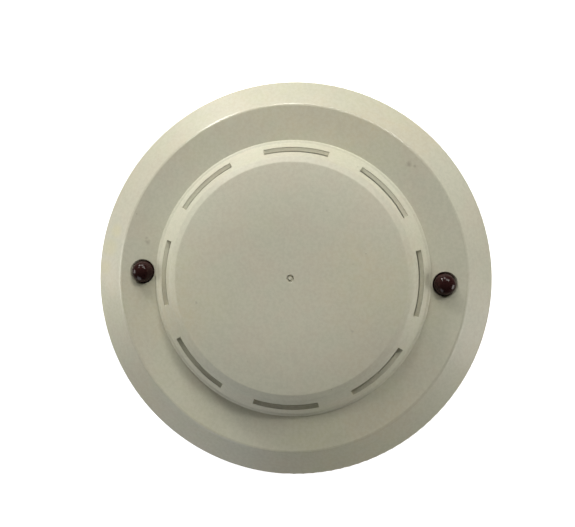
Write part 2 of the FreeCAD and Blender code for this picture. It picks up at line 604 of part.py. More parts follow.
def rear_chassis():
    """Rear moulding of the head: bayonet lugs, screw pillars, blade sockets and stiffening rings."""
    floor_top = CHASSIS_Z + CHASSIS_FLOOR
    lug = sector(CHASSIS_R - 1.0, LUG_R, LUG_Z, LUG_Z + LUG_THICK, 0, LUG_HALF)
    lug = softened(lug, 0.5, lambda e: abs(e.tangentAt(e.FirstParameter).z) > 0.9
                   and math.hypot(e.CenterOfMass.x, e.CenterOfMass.y) > LUG_R - 0.3)
    pillar = rod(PILLAR_R, CHASSIS_Z, BOARD_Z)
    rings = [tube(25.2, 24.0, CHASSIS_Z, floor_top + 1.5), tube(41.0, 40.0, CHASSIS_Z - 0.6, CHASSIS_Z + 1)]
    added = around(lug, LUG_ANGLES) + around(pillar, SCREW_ANGLES, SCREW_CIRCLE_R) + rings
    added += around(blade_socket(), TERMINAL_ANGLES, TERMINAL_R)
    bottom = CHASSIS_Z - 3
    counterbore = rod(SCREW_HEAD_R + 0.3, bottom, SCREW_SEAT_Z)
    shank_way = rod(SCREW_SHANK_R + 0.2, bottom, BOARD_Z + 1)
    blade_way = block(0, BLADE_LEG_Y - BLADE_THICK / 2, bottom, BLADE_WIDE + 0.1, BLADE_THICK + 0.1, 12)
    dial_ways = [rod(DIAL_COLLAR_R + 0.15, bottom, CHASSIS_Z + 5, x, DIAL_Y) for x in (-DIAL_X, DIAL_X)]
    seat_deep = CHASSIS_Z - bottom + 0.15
    label_seat = soft_block(0, LABEL_Y, bottom, LABEL_WIDE + 0.6, LABEL_DEEP + 0.6, seat_deep, 2.0)
    cuts = around(counterbore.fuse(shank_way), SCREW_ANGLES, SCREW_CIRCLE_R)
    cuts += around(blade_way, TERMINAL_ANGLES, TERMINAL_R) + dial_ways + [label_seat]
    return chassis_shell().multiFuse(added).cut(cuts)


def contact_blade():
    """Bent contact blade in local axes: a leg up to the board and a foot under the spring leaf."""
    low, top = BLADE_Z, BOARD_TOP + 0.9
    outer = BLADE_LEG_Y
    wide_part = prism([
        (BLADE_TIP_Y, low + 0.3), (BLADE_TIP_Y + 1.2, low), (outer, low, 1.2), (outer, BOARD_Z - 0.4),
        (outer - BLADE_THICK, BOARD_Z - 0.4), (outer - BLADE_THICK, low + BLADE_THICK, 0.4),
        (BLADE_TIP_Y, low + BLADE_THICK),
    ], BLADE_WIDE)
    tail = block(0, outer - BLADE_THICK / 2, BOARD_Z - 1, BLADE_WIDE - 2.0, BLADE_THICK, top - BOARD_Z + 1)
    return wide_part.fuse(tail).removeSplitter()


def housing_screw():
    """Pan-head screw with a cross recess, driven in from the rear, in local axes at the screw circle."""
    head_low, taper = SCREW_SEAT_Z - 1.8, 1.8
    body = revolved([
        (0, head_low), (SCREW_HEAD_R - 0.5, head_low, 0.4), (SCREW_HEAD_R, SCREW_SEAT_Z - 0.8, 0.4),
        (SCREW_HEAD_R, SCREW_SEAT_Z), (SCREW_SHANK_R, SCREW_SEAT_Z),
        (SCREW_SHANK_R, SCREW_TIP_Z - taper, 0.2), (0.4, SCREW_TIP_Z), (0, SCREW_TIP_Z),
    ])
    recess_long, recess_wide, recess_deep = 3.2, 0.7, 1.0
    arm = block(0, 0, head_low - 1, recess_long, recess_wide, 1 + recess_deep)
    return body.cut(arm.fuse(turned(arm, 90)))


def rear_label():
    """Blank rating label, stuck in its seat on the rear floor."""
    return soft_block(0, LABEL_Y, CHASSIS_Z + 0.03, LABEL_WIDE, LABEL_DEEP, 0.12, 1.7)


# ---- mounting base -------------------------------------------------------------------------------

def base_shell():
    """Turned cup of the mounting base."""
    return revolved([
        (0, 0), (BASE_R_BOTTOM - 0.4, 0), (BASE_R_BOTTOM, 0.5), (BASE_R_TOP, BASE_TOP_Z, 0.4),
        (BASE_R_IN, BASE_TOP_Z, 0.3), (BASE_R_IN, PLATE, 1.0), (0, PLATE),
    ])


def terminal_tower():
    """Plastic tower of one terminal in local axes: strip seat, blade anvil and side cheeks."""
    seat = soft_block(0, -7.0, PLATE - 1, STRIP_WIDE + 2.4, 19.0, TOWER_Z - PLATE + 1, 0.8)
    anvil = soft_block(0, 0.2, PLATE - 1, STRIP_WIDE + 1.0, 8.0, ANVIL_Z - PLATE + 1, 0.8)
    cheeks = [block(dx, -11.0, PLATE - 1, 1.0, 9.4, TOWER_Z + 1.6 - PLATE) for dx in (-4.4, 4.4)]
    bed = block(0, -10.4, TOWER_Z, STRIP_WIDE + 0.2, 13.0, 4)
    return seat.multiFuse([anvil] + cheeks).cut([bed, rod(1.95, PLATE + 0.4, 12, 0, TERMINAL_SCREW_Y)])


def bayonet_ledge():
    """Ledge that holds one lug down, with the web that stops it in the locked place."""
    outer = BASE_R_IN + 0.6
    ledge = sector(LEDGE_R, outer, LEDGE_Z, LEDGE_Z + LEDGE_THICK, 0, LEDGE_HALF)
    stop_middle = -(LUG_HALF + STOP_GAP + STOP_HALF)
    web = sector(LEDGE_R, outer, LEDGE_Z - LUG_THICK - 1.5, LEDGE_Z + LEDGE_THICK, stop_middle, STOP_HALF)
    return ledge.fuse(web)


def base_ribs():
    """Stiffening rings, radial ribs and pads on the inside of the base plate."""
    low = PLATE - 0.5
    ribs = [turned(block(21.0, 0, low, 11.0, 1.2, 2.2), a) for a in (22, 68, 112, 158, 202, 248, 292, 338)]
    ribs += [turned(block(44.5, 0, low, 8.6, 1.2, 6.0), a) for a in (10, 60, 120, 170, 190, 240, 300, 350)]
    lip, high = 1.6, PLATE + 0.8
    pads = []
    for side in (-1, 1):
        pads.append(slot(side * BOX_SLOT_X, 0, BOX_SLOT_X_LONG + 2 * lip, BOX_SLOT_R + lip, low, high))
        pads.append(slot(0, side * BOX_SLOT_Y, BOX_SLOT_Y_LONG + 2 * lip, BOX_SLOT_R + lip, low, high, True))
    collar = rod(CABLE_COLLAR_R, 0, CABLE_COLLAR_Z)
    return ribs + pads + [collar]


def base_cuts():
    """Cable entry, mounting slots, wall knock-outs and the moulded relief on the back."""
    cuts = [rod(CABLE_R, -1, CABLE_COLLAR_Z + 1)]
    cuts += [slot(s * BOX_SLOT_X, 0, BOX_SLOT_X_LONG, BOX_SLOT_R, -1, 6) for s in (-1, 1)]
    cuts += [slot(0, s * BOX_SLOT_Y, BOX_SLOT_Y_LONG, BOX_SLOT_R, -1, 6, True) for s in (-1, 1)]
    knock_out = block(BASE_R_TOP, 0, -1, 3.2, 11.0, 9.0)
    cuts += [turned(knock_out, a) for a in (90, 270)]
    relief = tube(47.2, 46.0, -1, 0.5)
    return cuts + [relief]


def mounting_base():
    """Moulded base that is screwed to the ceiling box and takes the head with a clockwise turn."""
    added = around(terminal_tower(), TERMINAL_ANGLES, TERMINAL_R) + around(bayonet_ledge(), LUG_ANGLES)
    index_rib = soft_block(BASE_R_TOP - 0.6, 0, BASE_TOP_Z - 6.0, 2.2, 2.4, 5.6, 0.4)
    added += base_ribs() + [turned(index_rib, -90)]
    return base_shell().multiFuse(added).cut(base_cuts())


def contact_strip():
    """Spring contact in local axes: screw plate, riser and the leaf over the head's blade."""
    low, top = TOWER_Z, TOWER_Z + STRIP_THICK
    rise = -4.6
    leaf_top = LEAF_Z + LEAF_THICK
    strip = prism([
        (-16.0, low), (rise, low, 0.9), (rise, LEAF_Z, 0.2), (3.2, LEAF_Z, 0.8), (4.6, LEAF_Z + 1.3),
        (4.2, LEAF_Z + 1.9), (2.9, leaf_top, 0.8), (rise - LEAF_THICK, leaf_top, 0.6),
        (rise - LEAF_THICK, top, 0.3), (-16.0, top),
    ], STRIP_WIDE - 0.6)
    return strip.cut(rod(TERMINAL_SCREW_R + 0.05, low - 1, top + 1, 0, TERMINAL_SCREW_Y))


def clamp_plate():
    """Square wire clamp under a terminal screw, with its two down-turned wire guards."""
    low = TOWER_Z + STRIP_THICK + 0.1
    plate = soft_block(0, TERMINAL_SCREW_Y, low, CLAMP_SIDE, CLAMP_SIDE, CLAMP_THICK, 0.6)
    return plate.cut(rod(TERMINAL_SCREW_R + 0.1, low - 1, low + 3, 0, TERMINAL_SCREW_Y))


def terminal_screw():
    """Terminal screw with a slotted pan head, in local axes."""
    seat = TOWER_Z + STRIP_THICK + 0.1 + CLAMP_THICK
    body = revolved([
        (0, PLATE + 0.8), (TERMINAL_SCREW_R - 0.5, PLATE + 0.8), (TERMINAL_SCREW_R, PLATE + 1.6),
        (TERMINAL_SCREW_R, seat), (TERMINAL_HEAD_R, seat), (TERMINAL_HEAD_R, seat + 1.4, 0.5),
        (TERMINAL_HEAD_R - 0.8, seat + 2.2, 0.5), (0, seat + 2.2),
    ])
    driver_slot = block(0, 0, seat + 1.1, 7.0, 0.9, 2.0)
    driver_slot.rotate(Vector(), Z_AXIS, 35)
    body = body.cut(driver_slot)
    body.translate(Vector(0, TERMINAL_SCREW_Y, 0))
    return body


# ---- address switches ----------------------------------------------------------------------------

def address_switch_body(x):
    """Square body of one rotary address switch, hung under the board, with the round collar of its dial."""
    low = CHASSIS_Z + CHASSIS_FLOOR + 0.1
    body = soft_block(x, DIAL_Y, low, SWITCH_SIDE, SWITCH_SIDE, BOARD_Z - low, 0.5)
    collar = rod(DIAL_COLLAR_R, CHASSIS_Z + 0.4, CHASSIS_Z + CHASSIS_FLOOR + 1, x, DIAL_Y)
    bore = rod(DIAL_R + 0.05, CHASSIS_Z - 1, BOARD_Z - 0.6, x, DIAL_Y)
    return body.fuse(collar).cut(bore)


def address_dial(x):
    """Dial of one address switch: a round rotor with a driver slot and an arrow head at one end of it."""
    low = CHASSIS_Z + 0.3
    dial = revolved([(0, low), (DIAL_R, low, 0.25), (DIAL_R, BOARD_Z - 0.7), (0, BOARD_Z - 0.7)])
    driver_slot = block(0, -0.3, low - 1, 0.9, 4.4, 2.0)
    tip = [Vector(*corner, low - 1) for corner in ((0, 2.8), (-1.5, 0.9), (1.5, 0.9), (0, 2.8))]
    arrow = Part.Face(Part.makePolygon(tip)).extrude(Vector(0, 0, 2.0))
    dial = dial.cut(driver_slot.fuse(arrow))
    dial.translate(Vector(x, DIAL_Y, 0))
    return dial


# ---- every node ----------------------------------------------------------------------------------

def make_head():
    """Write the nodes that turn with the head."""
    export("front_cover", front_cover())
    export("status_lamp_right", lamp(LAMP_X))
    export("status_lamp_left", lamp(-LAMP_X))
    export("lamp_leads", *lamp_leads(LAMP_X), *lamp_leads(-LAMP_X))
    export("lamp_spacers", lamp_spacer(LAMP_X), lamp_spacer(-LAMP_X))
    export("chamber_tray", chamber_tray())
    export("thermistor_bead", thermistor_bead())
    export("thermistor_leads", *thermistor_leads())
    export("thermistor_sleeve", thermistor_sleeve())
    export("rear_chassis", rear_chassis())
    export("contact_blades", *around(contact_blade(), TERMINAL_ANGLES, TERMINAL_R))
    export("housing_screws", *around(housing_screw(), SCREW_ANGLES, SCREW_CIRCLE_R))
    export("rear_label", rear_label())


def make_board():
    """Write the circuit board and the parts soldered to it."""
    export("circuit_board", circuit_board())
    export("address_switch_bodies", address_switch_body(-DIAL_X), address_switch_body(DIAL_X))
    export("tens_dial", address_dial(-DIAL_X))
    export("ones_dial", address_dial(DIAL_X))
    export("control_ic", control_ic())
    export("control_ic_pins", *ic_pins())
    export("shield_can", shield_can())
    export("resistors", *axial_parts(RESISTORS, 1.15, 6.3))
    export("resistor_leads", *axial_leads(RESISTORS, RESISTOR_SPAN))
    export("diodes", *axial_parts(DIODES, 1.3, 5.0))
    export("diode_leads", *axial_leads(DIODES, DIODE_SPAN))
    export("electrolytic_capacitors", *[capacitor_can(*place) for place in CANS])
    export("film_capacitors", *[film_capacitor(*place) for place in FILM_CAPACITORS])
    export("transistors", *[transistor(*place) for place in TRANSISTORS])
    export("transistor_leads", *[lead for place in TRANSISTORS for lead in transistor_leads(*place)])
    export("surge_varistor", varistor())
    export("varistor_leads", *varistor_leads())
    export("reed_switch_glass", reed_glass())
    export("reed_switch_blades", *reed_blades())
    export("reference_thermistor", reference_bead())
    export("reference_thermistor_leads", *reference_leads())


def make_base():
    """Write the nodes that stay on the ceiling."""
    export("mounting_base", mounting_base())
    export("contact_strips", *around(contact_strip(), TERMINAL_ANGLES, TERMINAL_R))
    export("terminal_clamps", *around(clamp_plate(), TERMINAL_ANGLES, TERMINAL_R))
    export("terminal_screws", *around(terminal_screw(), TERMINAL_ANGLES, TERMINAL_R))


os.makedirs(OUT, exist_ok=True)
make_head()
make_board()
make_base()
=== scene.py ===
import math

import bmesh
import bpy
from mathutils import Matrix, Vector


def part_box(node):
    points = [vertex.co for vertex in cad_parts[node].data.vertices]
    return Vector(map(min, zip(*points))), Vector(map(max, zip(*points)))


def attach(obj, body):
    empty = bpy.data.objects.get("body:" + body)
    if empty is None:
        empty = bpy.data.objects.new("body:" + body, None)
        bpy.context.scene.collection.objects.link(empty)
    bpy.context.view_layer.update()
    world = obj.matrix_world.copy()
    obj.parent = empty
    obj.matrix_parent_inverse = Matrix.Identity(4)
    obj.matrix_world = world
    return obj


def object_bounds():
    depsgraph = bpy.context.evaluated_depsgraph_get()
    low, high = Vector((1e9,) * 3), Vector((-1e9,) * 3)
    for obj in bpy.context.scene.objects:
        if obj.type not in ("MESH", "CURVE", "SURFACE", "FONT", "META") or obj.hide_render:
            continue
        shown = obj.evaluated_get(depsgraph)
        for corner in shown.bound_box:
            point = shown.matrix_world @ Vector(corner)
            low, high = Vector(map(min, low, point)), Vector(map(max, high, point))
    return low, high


# Looks of a ceiling heat detector, in metres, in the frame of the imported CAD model.
# Textures are worked out in millimetres from each piece's own coordinates, so they move with the piece.

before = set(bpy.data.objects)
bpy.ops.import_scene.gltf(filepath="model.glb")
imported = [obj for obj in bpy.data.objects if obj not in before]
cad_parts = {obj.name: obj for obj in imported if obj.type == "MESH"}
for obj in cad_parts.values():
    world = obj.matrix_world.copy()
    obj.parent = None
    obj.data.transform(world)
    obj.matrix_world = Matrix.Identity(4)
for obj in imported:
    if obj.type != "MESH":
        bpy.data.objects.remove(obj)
cad_low, cad_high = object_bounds()

MM = 0.001
RIM_R = (cad_high.x - cad_low.x) / 2  # radius of the cover's widest ring


def rim_height():
    """Height of the widest ring of the cover."""
    places = [vertex.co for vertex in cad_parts["front_cover"].data.vertices]
    return max(places, key=lambda co: math.hypot(co.x, co.y)).z


RIM_Z = rim_height()


# ---- node trees ----------------------------------------------------------------------------------

NODE_RAYS = 4  # rays that a Bevel or Ambient Occlusion node sends from each shaded point
EDGE_TURN = (0.02, 0.25)  # one less the cosine of the normals' angle, at a faint edge and at a full one
MIX_INPUTS = {"Factor": 0, "A": 6, "B": 7}  # a Mix node's sockets for colours
MIX_OUTPUT = 2
# Parts of a noise's range that turn into a mask. The narrower the part, the sharper the patches.
WIDE, NARROW, SHARP = (0.3, 0.7), (0.35, 0.65), (0.38, 0.62)


def add(tree, kind, sockets=None, **settings):
    """Add one shader node. A socket is given as a value, or as another node's output to link from."""
    node = tree.nodes.new("ShaderNode" + kind)
    for key, value in settings.items():
        setattr(node, key, value)
    for key, value in (sockets or {}).items():
        if isinstance(value, bpy.types.NodeSocket):
            tree.links.new(value, node.inputs[key])
        else:
            node.inputs[key].default_value = value
    return node


def millimetres(tree):
    """The piece's own coordinates, in millimetres."""
    place = add(tree, "TexCoord").outputs["Object"]
    return add(tree, "VectorMath", {0: place, "Scale": 1 / MM}, operation="SCALE").outputs["Vector"]


def noise(tree, size, detail=2.0, rough=0.5, stretch=None):
    """Noise whose blobs are about size millimetres across, stretched along the axes if asked."""
    place = millimetres(tree)
    if stretch:
        place = add(tree, "VectorMath", {0: place, 1: stretch}, operation="MULTIPLY").outputs["Vector"]
    sockets = {"Vector": place, "Scale": 1 / size, "Detail": detail, "Roughness": rough}
    return add(tree, "TexNoise", sockets).outputs["Fac"]


def remap(tree, value, low, high, to_low=0.0, to_high=1.0):
    """Map a range of values to another range, clamped and smooth."""
    sockets = {"Value": value, "From Min": low, "From Max": high, "To Min": to_low, "To Max": to_high}
    return add(tree, "MapRange", sockets, interpolation_type="SMOOTHSTEP").outputs["Result"]


def maths(tree, operation, a, b=0.0):
    """One arithmetic step on two values."""
    return add(tree, "Math", {0: a, 1: b}, operation=operation).outputs["Value"]


def blend_colour(tree, amount, a, b, mode="MIX"):
    """Mix two colours by an amount."""
    node = tree.nodes.new("ShaderNodeMix")
    node.data_type = "RGBA"
    node.blend_type = mode
    for key, value in (("Factor", amount), ("A", rgba(a)), ("B", rgba(b))):
        socket = node.inputs[MIX_INPUTS[key]]
        if isinstance(value, bpy.types.NodeSocket):
            tree.links.new(value, socket)
        else:
            socket.default_value = value
    return node.outputs[MIX_OUTPUT]


def rgba(colour):
    """A colour as four numbers; a socket passes through."""
    if isinstance(colour, bpy.types.NodeSocket) or len(colour) == 4:
        return colour
    return (*colour, 1.0)


def tinted(colour, factor):
    """A colour made lighter or darker."""
    return tuple(min(1.0, channel * factor) for channel in colour[:3])


def rounded_normal(tree, radius):
    """Normal that treats the edges as rounded to a radius in millimetres."""
    return add(tree, "Bevel", {"Radius": radius * MM}, samples=NODE_RAYS).outputs["Normal"]


def edges(tree, radius):
    """Mask of the convex and concave edges, from how far a rounded normal turns away from the true one."""
    soft = rounded_normal(tree, radius)
    true = add(tree, "NewGeometry").outputs["Normal"]
    same = add(tree, "VectorMath", {0: soft, 1: true}, operation="DOT_PRODUCT").outputs["Value"]
    return remap(tree, maths(tree, "SUBTRACT", 1.0, same), *EDGE_TURN)


def bumped(tree, heights, radius=None):
    """Normal from (height, distance in millimetres) pairs, over a normal rounded at the edges if asked."""
    normal = rounded_normal(tree, radius) if radius else None
    for height, deep in heights:
        sockets = {"Height": height, "Distance": deep * MM, "Strength": 1.0}
        if normal:
            sockets["Normal"] = normal
        normal = add(tree, "Bump", sockets).outputs["Normal"]
    return normal


def material(name, build):
    """Material whose surface comes from build(tree), which returns the sockets of the main shader."""
    made = bpy.data.materials.new(name)
    made.use_nodes = True
    tree = made.node_tree
    tree.nodes.clear()
    shader = add(tree, "BsdfPrincipled", build(tree))
    add(tree, "OutputMaterial", {"Surface": shader.outputs["BSDF"]})
    return made


# ---- moulded plastics ----------------------------------------------------------------------------

IVORY = (0.652, 0.637, 0.527)
IVORY_AGED = (0.667, 0.641, 0.488)
# The tray's two colours are the cover's ivory painted darker, as painted shade on the inside seen through
# the slots.
TRAY_IVORY_SHADED = (0.480, 0.470, 0.380)
TRAY_AGED_SHADED = (0.490, 0.470, 0.355)
BASE_IVORY = (0.70, 0.69, 0.60)
BASE_AGED = (0.70, 0.68, 0.54)
PINK_CAST, GREEN_CAST = (1.0, 0.965, 0.945), (0.965, 0.985, 0.955)
# colour of the specks and scuffs, and of the painted shade in the closed-in corners
GRIME_AND_SHADE = (0.20, 0.17, 0.11)
STAIN = (0.72, 0.66, 0.36)

# Sizes in mm of the plastic's patterns, and how much of their colour the smaller ones and the marks bring.
BROAD, CLOUD, MOTTLE, FINE, GRAIN = 34.0, 11.0, 4.0, 0.8, 0.38
SPECK_SPACING, SPECK_SHARE = 6.25, 0.5
MOTTLE_SHARE, FINE_SHARE = 0.35, 0.45
STAIN_SHARE, SCUFF_SHARE = 0.3, 0.4
DARKER, LIGHTER, RUBBED = 0.90, 1.10, 1.15  # tints of the mottling, the fine grain and the worn edges
SHADE_AND_GRIME_REACH = 1.2  # mm over which a corner is painted darker, as painted shade with grime
CLOSED_IN, OPEN = 0.25, 0.75  # open share of the view from a corner painted fully dark and from a face left unshaded
SHADE_AND_GRIME_SHARES, WORN_SHARES = (0.15, 0.40), (0.1, 0.6)  # least and most of the painted corner shade with grime, and of the wear
SPECK_CORE, SPECK_END = 0.012, 0.03  # radii of a speck as shares of the spacing
WORN_EDGE, SHINY_EDGE, ROUNDING = 0.5, 0.4, 0.15  # mm round the edges
PLASTIC_IOR = 1.5
SATIN = (0.44, 0.52)  # roughness of the open surface
EDGE_SHINE, CREST_SHINE = 0.22, 0.26  # how much smoother the edges and the flange's crest are
BROAD_DEEP, FINE_DEEP, GRAIN_DEEP = 0.10, 0.010, 0.022  # mm of waviness and grain

CREST_SHARE = 0.8587  # radius of the flange's crest as a share of the rim radius
CREST_HALF = (0.25, 0.75)  # mm from the crest to the edge of the rubbed ring, and to its end

# Marks are given by their share of the rim radius, angle in degrees and radius in mm.
SCUFFS = [  # small and dark
    (0.745, 168.5, 0.55), (0.755, 167.0, 0.35), (0.80, 46.5, 0.65), (0.815, 44.5, 0.40),
    (0.46, 197.0, 0.25), (0.38, 322.0, 0.35), (0.36, 64.0, 0.20), (0.30, 15.0, 0.20), (0.44, 245.0, 0.22),
]
YELLOWED = [(0.95, 173.0, 2.2), (0.93, 167.5, 1.6), (0.965, 179.0, 1.8)]  # stained by the sun
MARK_WANDER, WANDER_SIZE = 0.9, 0.7  # how far a mark's outline wanders, and over what length, mm
MARK_CORE, MARK_END, MARK_FRINGE = 0.6, 1.6, 0.5  # shares of the radius, and mm more to where it ends


def flattened(tree):
    """The piece's own coordinates in millimetres, with no height."""
    sockets = {0: millimetres(tree), 1: (1, 1, 0)}
    return add(tree, "VectorMath", sockets, operation="MULTIPLY").outputs["Vector"]


def spots(tree, places):
    """Mask of a few ragged spots on the head, each at a share of the rim radius and an angle."""
    flat = flattened(tree)
    wobble = maths(tree, "MULTIPLY", noise(tree, WANDER_SIZE, detail=3.0), MARK_WANDER)
    total = None
    for share, angle, radius in places:
        reach = share * RIM_R / MM
        turn = math.radians(angle)
        middle = (reach * math.cos(turn), reach * math.sin(turn), 0)
        away = add(tree, "VectorMath", {0: flat, 1: middle}, operation="DISTANCE").outputs["Value"]
        away = maths(tree, "ADD", away, wobble)
        spot = remap(tree, away, radius * MARK_CORE, radius * MARK_END + MARK_FRINGE, 1.0, 0.0)
        total = spot if total is None else maths(tree, "MAXIMUM", total, spot)
    return total


def crevices(tree, reach):
    """Mask of the places that are closed in on most sides within a reach in millimetres."""
    ambient = {"Distance": reach * MM}
    open_share = add(tree, "AmbientOcclusion", ambient, samples=NODE_RAYS).outputs["AO"]
    return remap(tree, open_share, CLOSED_IN, OPEN, 1.0, 0.0)


def crest(tree):
    """Mask of the narrow rubbed ring along the crest between the flange and the outer bevel."""
    reach = add(tree, "VectorMath", {0: flattened(tree)}, operation="LENGTH").outputs["Value"]
    away = maths(tree, "ABSOLUTE", maths(tree, "SUBTRACT", reach, CREST_SHARE * RIM_R / MM))
    return remap(tree, away, *CREST_HALF, 1.0, 0.0)


def ivory_tone(tree, colour, yellow, shade_and_soil, cloud, mottle, fine, broad):
    """Colour of the plastic with its casts, mottling, grain, painted shade with grime in the corners, and
    specks.
    """
    tone = blend_colour(tree, remap(tree, broad, *NARROW), colour, yellow)
    cast = blend_colour(tree, remap(tree, cloud, *SHARP), PINK_CAST, GREEN_CAST)
    tone = blend_colour(tree, 1.0, tone, cast, "MULTIPLY")
    blotch = remap(tree, mottle, *WIDE, 0.0, MOTTLE_SHARE)
    tone = blend_colour(tree, blotch, tone, tinted(colour, DARKER))
    spark = remap(tree, fine, *NARROW, 0.0, FINE_SHARE)
    tone = blend_colour(tree, spark, tone, tinted(colour, LIGHTER))
    least, most = SHADE_AND_GRIME_SHARES
    # Painted shade with some grime: corners that are closed in are painted darker, unevenly.
    uneven = remap(tree, mottle, *WIDE, least * shade_and_soil, most * shade_and_soil)
    shade_and_dirt = maths(tree, "MULTIPLY", crevices(tree, SHADE_AND_GRIME_REACH), uneven)
    tone = blend_colour(tree, shade_and_dirt, tone, GRIME_AND_SHADE)
    speck = add(tree, "TexVoronoi", {"Vector": millimetres(tree), "Scale": 1 / SPECK_SPACING})
    grit = remap(tree, speck.outputs["Distance"], SPECK_CORE, SPECK_END, 1.0, 0.0)
    return blend_colour(tree, maths(tree, "MULTIPLY", grit, SPECK_SHARE), tone, GRIME_AND_SHADE)


def ivory(colour, yellow, marks=None, stains=None, shade_and_soil=1.0):
    """Satin moulded plastic: grain, slow waviness, yellowing, painted shade with grime in the corners,
    specks, marks and worn edges.
    """
    def build(tree):
        broad = noise(tree, BROAD)
        cloud = noise(tree, CLOUD, detail=3.0, rough=0.6)
        mottle = noise(tree, MOTTLE, detail=4.0, rough=0.6)
        fine = noise(tree, FINE, detail=3.0, rough=0.6)
        grain = noise(tree, GRAIN, rough=0.6)
        tone = ivory_tone(tree, colour, yellow, shade_and_soil, cloud, mottle, fine, broad)
        shine = maths(tree, "MULTIPLY", edges(tree, SHINY_EDGE), EDGE_SHINE)
        rough = maths(tree, "SUBTRACT", remap(tree, cloud, *WIDE, *SATIN), shine)
        if stains:
            stained = maths(tree, "MULTIPLY", spots(tree, stains), STAIN_SHARE)
            tone = blend_colour(tree, stained, tone, STAIN)
        if marks:
            scuffed = maths(tree, "MULTIPLY", spots(tree, marks), SCUFF_SHARE)
            tone = blend_colour(tree, scuffed, tone, GRIME_AND_SHADE)
            rough = maths(tree, "SUBTRACT", rough, maths(tree, "MULTIPLY", crest(tree), CREST_SHINE))
        worn = maths(tree, "MULTIPLY", edges(tree, WORN_EDGE), remap(tree, mottle, *NARROW, *WORN_SHARES))
        waves = [(broad, BROAD_DEEP), (fine, FINE_DEEP), (grain, GRAIN_DEEP)]
        return {
            "Base Color": blend_colour(tree, worn, tone, tinted(colour, RUBBED)),
            "Roughness": rough,
            "IOR": PLASTIC_IOR,
            "Normal": bumped(tree, waves, ROUNDING),
        }
    return build


# ---- lamp epoxy ----------------------------------------------------------------------------------

EPOXY_DARK, EPOXY_PALE = (0.022, 0.008, 0.008), (0.036, 0.013, 0.012)
GLOSSY, HAZE = (0.10, 0.18), 0.8  # roughness of the lens, and mm across its hazy patches
EPOXY_IOR, EPOXY_GLEAM, EPOXY_CLEAR = 1.53, 0.13, 0.05  # with the weak gleam of a dull old lens
FLOW_LINES, FLOW_STRETCH = 1.2, (1, 1, 0.3)  # mm between the flow lines, drawn out along z
FLOW_DEEP = 0.01  # mm


def lamp_epoxy(tree):
    """Deep red tinted epoxy lens, glossy, with faint flow lines."""
    streak = noise(tree, FLOW_LINES, stretch=FLOW_STRETCH)
    return {
        "Base Color": blend_colour(tree, streak, EPOXY_DARK, EPOXY_PALE),
        "Roughness": remap(tree, noise(tree, HAZE), *WIDE, *GLOSSY),
        "IOR": EPOXY_IOR,
        "Specular IOR Level": EPOXY_GLEAM,
        "Transmission Weight": EPOXY_CLEAR,
        "Normal": bumped(tree, [(streak, FLOW_DEEP)]),
    }


# ---- other finishes ------------------------------------------------------------------------------

TARNISH, TARNISH_SIZE, TARNISH_PART, TARNISH_SHARE = (0.2, 0.18, 0.15), 3.0, (0.5, 0.8), 0.45
DRAWN_LINE, LINE_DEEP, LINE_PART = 0.3, 0.01, (0.25, 0.75)  # drawing lines of a metal, first two in mm
METAL_EDGE, METAL_RUBBED, METAL_BRIGHT = 0.15, 0.6, 1.2  # mm of edge, its share of wear, and its tint
RESIN_EDGE, RESIN_RUBBED, RESIN_BRIGHT = 0.2, 0.3, 1.5  # the same for resin
RESIN_DARK = 0.6  # tint of its mottling
RESIN_CLOUD, RESIN_HAZE, RESIN_GRAIN = 1.6, 0.6, 0.2  # sizes of a resin's patterns, mm
RESIN_DEEP, RESIN_ROUNDING = 0.006, 0.06  # mm
METAL_SPREAD, RESIN_SPREAD = (0.75, 1.3), (0.8, 1.2)  # least and most of the stated roughness

WEAVE = {"Scale": 0.9, "Distortion": 0.4}
WEAVE_GREEN, WEAVE_SHARE = (0.07, 0.20, 0.10), 0.35
RESIST, RESIST_OVER_COPPER = (0.020, 0.105, 0.050), (0.030, 0.155, 0.070)
COPPER_SIZE, COPPER_EDGE = 9.0, (0.49, 0.51)  # mm across a copper area, and the sharpness of its edge
COPPER_HIGH, WEAVE_HIGH = 0.03, 0.01  # mm
BOARD_ROUGH, BOARD_HAZE = (0.22, 0.36), 2.0  # roughness, and mm across its hazy patches


def metal(colour, rough, brush=(1, 1, 1)):
    """Plated or rolled metal with drawing lines, cloudy tarnish and rubbed edges."""
    def build(tree):
        lines = noise(tree, DRAWN_LINE, detail=3.0, rough=0.6, stretch=brush)
        cloud = noise(tree, TARNISH_SIZE, detail=4.0, rough=0.6)
        rubbed = maths(tree, "MULTIPLY", edges(tree, METAL_EDGE), METAL_RUBBED)
        tarnished = remap(tree, cloud, *TARNISH_PART, 0.0, TARNISH_SHARE)
        tone = blend_colour(tree, tarnished, colour, TARNISH)
        tone = blend_colour(tree, rubbed, tone, tinted(colour, METAL_BRIGHT))
        smoothest, roughest = (rough * share for share in METAL_SPREAD)
        return {
            "Base Color": tone,
            "Metallic": 1.0,
            "Roughness": remap(tree, lines, *LINE_PART, smoothest, roughest),
            "Normal": bumped(tree, [(lines, LINE_DEEP)]),
        }
    return build


def moulded(colour, rough, mottling=0.25):
    """Small moulded or dipped part: coloured resin with mottling, moulding grain and rubbed edges."""
    def build(tree):
        cloud = noise(tree, RESIN_CLOUD, detail=3.0, rough=0.6)
        rubbed = maths(tree, "MULTIPLY", edges(tree, RESIN_EDGE), RESIN_RUBBED)
        mottled = remap(tree, cloud, *WIDE, 0.0, mottling)
        tone = blend_colour(tree, mottled, colour, tinted(colour, RESIN_DARK))
        tone = blend_colour(tree, rubbed, tone, tinted(colour, RESIN_BRIGHT))
        smoothest, roughest = (rough * share for share in RESIN_SPREAD)
        haze = noise(tree, RESIN_HAZE, detail=3.0)
        return {
            "Base Color": tone,
            "Roughness": remap(tree, haze, *WIDE, smoothest, roughest),
            "IOR": PLASTIC_IOR,
            "Normal": bumped(tree, [(noise(tree, RESIN_GRAIN), RESIN_DEEP)], RESIN_ROUNDING),
        }
    return build


